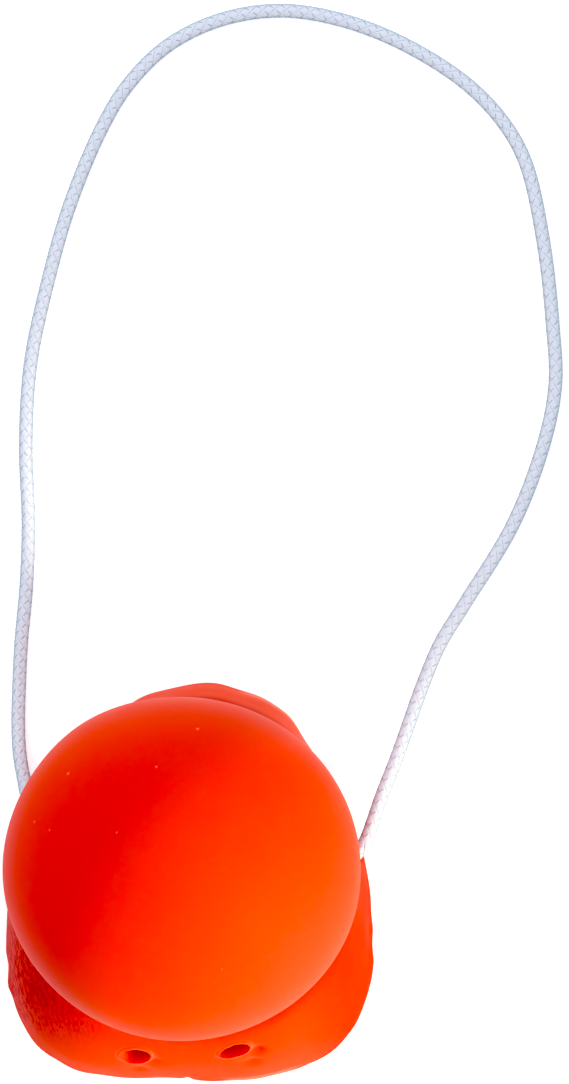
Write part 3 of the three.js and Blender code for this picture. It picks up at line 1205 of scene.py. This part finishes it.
@dataclass(frozen=True)
class Braid:
    """The round braid: how its yarns run over and under round the core, in millimetres."""

    yarns_each_way: int = 4
    turn_length: float = 7.0
    yarn_width: float = 1.22
    yarn_thickness: float = 0.3
    crossing_lift: float = 0.045
    step: float = 0.25
    yarn_sides: int = 8
    core_sides: int = 12

    def sizes(self, thickness: float) -> dict[str, float | int]:
        """The tree's inputs for a cord of one thickness.

        Args:
            thickness: The cord's diameter, in millimetres.

        Returns:
            Each input's value by its name, lengths in metres.
        """
        scale = thickness / 2
        return {
            "Braid Radius": scale * (0.98 - self.yarn_thickness / 2) * MM,
            "Yarn Width": scale * self.yarn_width * MM,
            "Yarn Thickness": scale * self.yarn_thickness * MM,
            "Turn Length": scale * self.turn_length * MM,
            "Crossing Lift": scale * self.crossing_lift * MM,
            "Step": self.step * MM,
            "Yarns Each Way": self.yarns_each_way,
            "Yarn Sides": self.yarn_sides,
        }

    def tree(self, material: bpy.types.Material) -> bpy.types.GeometryNodeTree:
        """Builds the tree that braids yarns round any curve.

        Args:
            material: The yarns' material.

        Returns:
            The tree, with its sizes as named inputs in metres.
        """
        tree = bpy.data.node_groups.new("round_braid", "GeometryNodeTree")
        face = tree.interface
        face.new_socket("Geometry", in_out="INPUT", socket_type="NodeSocketGeometry")
        for name, value in self.sizes(1.0).items():
            kind = "NodeSocketInt" if isinstance(value, int) else "NodeSocketFloat"
            face.new_socket(name, in_out="INPUT", socket_type=kind)
        face.new_socket("Geometry", in_out="OUTPUT", socket_type="NodeSocketGeometry")
        given = tree.nodes.new("NodeGroupInput").outputs

        def add(kind: str, inputs: dict[int | str, Any] | None = None, **settings: str) -> bpy.types.Node:
            """Adds one node of the braid.

            Args:
                kind: Its type, after "GeometryNode".
                inputs: Its values and links.
                **settings: Its own properties.

            Returns:
                The node.
            """
            return add_node(tree, "GeometryNode" + kind, settings, inputs)

        def work(kind: str, operation: str, *values: Any) -> Socket:
            """One step of the braid's formula.

            Args:
                kind: "Math" or "VectorMath".
                operation: What it does.
                *values: What it does it to.

            Returns:
                The result.
            """
            node = add_node(tree, "ShaderNode" + kind, {"operation": operation})
            for socket, value in zip([s for s in node.inputs if s.enabled], values):
                if isinstance(value, Socket):
                    tree.links.new(value, socket)
                else:
                    socket.default_value = value
            return node.outputs[0]

        def capture(geometry: Socket, **fields: Socket) -> bpy.types.Node:
            """Holds what fields say at a geometry's points.

            Args:
                geometry: The geometry.
                **fields: The fields by the names to hold them under.

            Returns:
                The node, with an output for each name.
            """
            node = add("CaptureAttribute")
            for name, value in fields.items():
                node.capture_items.new("VECTOR" if value.type == "VECTOR" else "FLOAT", name)
                tree.links.new(value, node.inputs[name])
            tree.links.new(geometry, node.inputs[0])
            return node

        line = add("ResampleCurve", {"Curve": given["Geometry"], "Length": given["Step"]}, mode="LENGTH")
        held = capture(
            line.outputs[0],
            Normal=add("InputNormal").outputs[0],
            Tangent=add("InputTangent").outputs[0],
            Run=add("SplineParameter").outputs["Length"],
        ).outputs
        each_way = given["Yarns Each Way"]
        amount = work("Math", "MULTIPLY", each_way, 2.0)
        yarns = add("DuplicateElements", {"Geometry": held[0], "Amount": amount}, domain="SPLINE")
        number = yarns.outputs["Duplicate Index"]
        odd = work("Math", "MODULO", number, 2.0)
        way = work("Math", "SUBTRACT", work("Math", "MULTIPLY", odd, 2.0), 1.0)
        pair = work("Math", "FLOOR", work("Math", "DIVIDE", number, 2.0))
        turns = work("Math", "DIVIDE", held["Run"], given["Turn Length"])
        sweep = work("Math", "MULTIPLY_ADD", turns, way, work("Math", "DIVIDE", pair, each_way))
        angle = work("Math", "MULTIPLY", sweep, 2 * math.pi)
        side = work("VectorMath", "CROSS_PRODUCT", held["Tangent"], held["Normal"])
        radial = work(
            "VectorMath", "ADD",
            work("VectorMath", "SCALE", held["Normal"], work("Math", "COSINE", angle)),
            work("VectorMath", "SCALE", side, work("Math", "SINE", angle)),
        )
        beat = work("Math", "MULTIPLY", work("Math", "MULTIPLY", turns, each_way), 2 * math.pi)
        over = work("Math", "MULTIPLY", work("Math", "COSINE", beat), way)
        reach = work("Math", "MULTIPLY_ADD", over, given["Crossing Lift"], given["Braid Radius"])
        offset = work("VectorMath", "SCALE", radial, reach)
        run = add("SetPosition", {"Geometry": yarns.outputs[0], "Offset": offset})
        lie = add("SetCurveNormal", {"Curve": run.outputs[0], "Normal": radial}, mode="FREE")
        ring = add("CurvePrimitiveCircle", {"Resolution": given["Yarn Sides"], "Radius": 0.5})
        flat = add_node(
            tree, "ShaderNodeCombineXYZ",
            inputs={"X": given["Yarn Thickness"], "Y": given["Yarn Width"], "Z": 1.0},
        )
        profile = add("Transform", {"Geometry": ring.outputs[0], "Scale": flat.outputs[0]})
        rounded = capture(profile.outputs[0], Round=add("SplineParameter").outputs["Factor"]).outputs
        woven = add("CurveToMesh", {"Curve": lie.outputs[0], "Profile Curve": rounded[0], "Fill Caps": True})
        places = add_node(
            tree, "ShaderNodeCombineXYZ", inputs={"X": held["Run"], "Y": rounded["Round"], "Z": number},
        )
        marked = add(
            "StoreNamedAttribute",
            {"Geometry": woven.outputs[0], "Name": "yarn", "Value": places.outputs[0]},
            data_type="FLOAT_VECTOR", domain="POINT",
        )
        core_size = {"Resolution": self.core_sides, "Radius": given["Braid Radius"]}
        core_ring = add("CurvePrimitiveCircle", core_size)
        core_step = work("Math", "MULTIPLY", given["Step"], 3.0)
        core_line = add("ResampleCurve", {"Curve": given["Geometry"], "Length": core_step}, mode="LENGTH")
        core = add(
            "CurveToMesh",
            {"Curve": core_line.outputs[0], "Profile Curve": core_ring.outputs[0], "Fill Caps": True},
        )
        both = add("JoinGeometry")
        tree.links.new(core.outputs[0], both.inputs[0])
        tree.links.new(marked.outputs[0], both.inputs[0])
        real = add("RealizeInstances", {0: both.outputs[0]})
        dyed = add("SetMaterial", {"Geometry": real.outputs[0], "Material": material})
        tree.links.new(dyed.outputs[0], tree.nodes.new("NodeGroupOutput").inputs[0])
        return tree

    def around(
        self, name: str, path: Array, thickness: float, tree: bpy.types.GeometryNodeTree
    ) -> Object:
        """Braids a cord along a path.

        Args:
            name: The piece's name.
            path: The cord's middle line in millimetres, one point a row.
            thickness: The cord's diameter.
            tree: The braid's tree.

        Returns:
            The cord as a plain mesh at the origin.
        """
        curve = bpy.data.curves.new(name, "CURVE")
        curve.dimensions = "3D"
        spline = curve.splines.new("POLY")
        spline.points.add(len(path) - 1)
        spline.points.foreach_set("co", np.column_stack([path * MM, np.ones(len(path))]).ravel())
        holder = add_object(name + "_line", curve)
        sizes = self.sizes(thickness)
        braid = holder.modifiers.new("braid", "NODES")
        braid.node_group = tree
        for item in tree.interface.items_tree:
            if item.in_out == "INPUT" and item.name in sizes:
                braid[item.identifier] = sizes[item.name]
        mesh = bpy.data.meshes.new_from_object(holder.evaluated_get(bpy.context.evaluated_depsgraph_get()))
        mesh.name = name
        bpy.data.objects.remove(holder)
        bpy.data.curves.remove(curve)
        mesh.shade_smooth()
        return add_object(name, mesh)


@dataclass
class ElasticLoop:
    """The cord from one side of the nose to the other, and the knots that hold it inside."""

    nose: LatexNose
    finish: BraidedElastic = field(default_factory=BraidedElastic)
    braid: Braid = field(default_factory=Braid)
    diameter: float = 2.0
    straight: float = 1.7
    tuck: float = 0.2
    knot_strand: float = 1.5
    knot_tail: float = 2.2
    samples: int = 1200
    # The free stretch, from the left side of the nose round to the right one.
    route: tuple[tuple[float, float, float], ...] = (
        (-23.8, 14.9, 4.9), (-24.7, 19.1, 3.5), (-25.1, 23.4, 2.0), (-25.1, 28.4, 1.15),
        (-24.8, 35.0, 1.05), (-24.0, 44.0, 1.05), (-23.7, 52.8, 1.05), (-24.1, 64.6, 1.05),
        (-23.4, 76.4, 1.05), (-20.9, 88.3, 1.05), (-17.5, 100.1, 1.05), (-12.5, 111.9, 1.05),
        (-8.7, 117.9, 1.05), (-3.0, 123.4, 1.05), (4.7, 127.1, 1.05), (13.6, 128.4, 1.05),
        (22.5, 127.0, 1.05), (31.9, 123.3, 1.05), (41.2, 117.3, 1.05), (46.7, 111.4, 1.05),
        (49.8, 105.6, 1.05), (52.4, 93.8, 1.05), (53.7, 82.1, 1.05), (54.1, 73.3, 1.05),
        (52.4, 64.5, 1.05), (47.9, 52.7, 1.05), (40.8, 41.0, 1.05), (37.2, 35.1, 1.05),
        (34.7, 29.2, 1.15), (32.6, 23.3, 1.9), (30.8, 18.2, 3.0), (28.8, 13.0, 4.5),
    )

    def _knot_middle(self, side: Side) -> Array:
        """Finds the middle of a CAD knot.

        Args:
            side: Which end of the cord it is on.

        Returns:
            Its middle, in millimetres.
        """
        low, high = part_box(side.value)
        return (np.array(low) + np.array(high)) / 2 / MM

    def path(self) -> Array:
        """Runs the cord's middle line from the left knot round to the right one.

        Returns:
            The line in millimetres, one point a row.
        """
        start, end = (self.nose.cord_exit(side) for side in Side)
        points = [
            self._knot_middle(Side.LEFT) + start.axis * self.tuck,
            start.centre,
            start.centre + start.axis * self.straight,
            *(np.array(point) for point in self.route),
            end.centre + end.axis * self.straight,
            end.centre,
            self._knot_middle(Side.RIGHT) + end.axis * self.tuck,
        ]
        return through_points([tuple(point) for point in points], False, self.samples)

    def _knot_path(self, side: Side) -> Array:
        """An overhand knot's line: most of a trefoil that lies along the wall, and a short tail.

        Args:
            side: Which end of the cord.

        Returns:
            The line, one point a row.
        """
        azimuth = math.radians(self.nose.cord_holes[side])
        axis = self.nose.form.outward(azimuth, self.nose.cord_hole_height)
        level = np.cross(UP, axis)
        lift = np.cross(axis, level)
        t = np.linspace(0.25, 2 * math.pi - 0.3, 90)
        size = self.knot_strand / 2
        flat = size * (np.sin(t) + 2 * np.sin(2 * t))
        tall = size * (np.cos(t) - 2 * np.cos(2 * t))
        deep = size * np.sin(3 * t)
        line = self._knot_middle(side) + np.outer(flat, level) + np.outer(tall, lift) + np.outer(deep, axis)
        heading = line[-1] - line[-6]
        heading = heading / np.linalg.norm(heading) - 0.8 * axis
        tail = line[-1] + np.linspace(0.3, self.knot_tail, 8)[:, None] * heading / np.linalg.norm(heading)
        return np.vstack([line, tail])

    def build(self) -> list[Object]:
        """Returns:
            The cord and the two knots.
        """
        material = self.finish.material()
        tree = self.braid.tree(material)
        path = self.path()
        cord = self.braid.around("braided_elastic", path, self.diameter, tree)
        wear(cord, material, "elastic", "elastic_cord")
        knots = []
        for side in Side:
            knot = self.braid.around(f"overhand_{side.value}", self._knot_path(side), self.knot_strand, tree)
            wear(knot, material, "elastic", side.value)
            knots.append(knot)
        self.nose.cord_exit(Side.LEFT).centre * MM
        return [cord, *knots]


# The studio


@dataclass(frozen=True)
class Softbox:
    """A square area light: where it is and what it is aimed at, in millimetres."""

    name: str
    place: tuple[float, float, float]
    aim: tuple[float, float, float]
    side: float
    watts: float
    spread: float = 180.0
    colour: str = "#ffffff"

    def light(self) -> Object:
        """Hangs the light.

        Returns:
            The light's object.
        """
        lamp = bpy.data.lights.new(self.name, "AREA")
        lamp.shape = "SQUARE"
        lamp.size = self.side * MM
        lamp.energy = self.watts
        lamp.spread = math.radians(self.spread)
        lamp.color = linear(self.colour)[:3]
        held = add_object(self.name, lamp)
        held.location = Vector(self.place) * MM
        away = Vector(self.place) - Vector(self.aim)
        held.rotation_euler = away.to_track_quat("Z", "Y").to_euler()
        return held


@dataclass
class Studio:
    """The paper, the lights and the camera that looks down on the nose."""

    paper: PaperSweep = field(default_factory=PaperSweep)
    camera_place: tuple[float, float, float] = (56.06, 50.1, 598.54)
    camera_aim: tuple[float, float, float] = (14.21, 50.1, 0.0)
    lens_mm: float = 135.0
    sensor_mm: float = 36.0
    paper_reach: float = 6000.0
    ambient: float = 0.7
    ambient_colour: str = "#f0f3ff"
    black_level: float = 0.088
    softboxes: tuple[Softbox, ...] = (
        Softbox("key_softbox", (198.0, -119.0, 132.0), (1.0, -10.0, 24.0), 84.0, 0.0398, 22.0, "#fff7dd"),
        Softbox("overhead_softbox", (-20.0, 170.0, 690.0), (10.0, 40.0, 0.0), 500.0, 2.65),
        Softbox("rim_softbox", (10.0, 430.0, 130.0), (0.0, 0.0, 25.0), 240.0, 0.2, 180.0, "#e8eeff"),
    )

    def camera(self) -> Object:
        """Sets the camera up.

        Returns:
            The camera.
        """
        data = bpy.data.cameras.new("camera")
        data.lens = self.lens_mm
        data.sensor_width = self.sensor_mm
        data.clip_start = 0.01
        held = add_object("camera", data)
        held.location = Vector(self.camera_place) * MM
        back = (Vector(self.camera_place) - Vector(self.camera_aim)).normalized()
        right = Vector((0, 1, 0)).cross(back).normalized()
        turn = Matrix((right, back.cross(right), back)).transposed()
        held.rotation_euler = turn.to_euler()
        bpy.context.scene.camera = held
        return held

    def build(self) -> None:
        """Lays the paper, hangs the lights and sets the world and the film."""
        scene = bpy.context.scene
        square = np.array([[-1.0, -1.0, 0.0], [1.0, -1.0, 0.0], [1.0, 1.0, 0.0], [-1.0, 1.0, 0.0]])
        floor = mesh_object("paper_floor", square * self.paper_reach, [(0, 1, 2, 3)])
        floor.data.materials.append(self.paper.material())
        for softbox in self.softboxes:
            softbox.light()
        world = bpy.data.worlds.new("studio")
        world.use_nodes = True
        background = world.node_tree.nodes["Background"]
        background.inputs["Strength"].default_value = self.ambient
        background.inputs["Color"].default_value = linear(self.ambient_colour)
        scene.world = world
        view = scene.view_settings
        view.view_transform = "Standard"
        view.look = "None"
        view.use_curve_mapping = True
        view.curve_mapping.black_level = (self.black_level,) * 3
        log.info("studio: %d lights", len(self.softboxes))


def main() -> None:
    """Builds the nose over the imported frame."""
    logging.basicConfig(level=logging.INFO, format="%(name)s: %(message)s")
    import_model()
    studio = Studio()
    studio.camera()
    nose = LatexNose()
    ElasticLoop(nose).build()
    nose.build()
    studio.build()


if __name__ == "__main__":
    main()
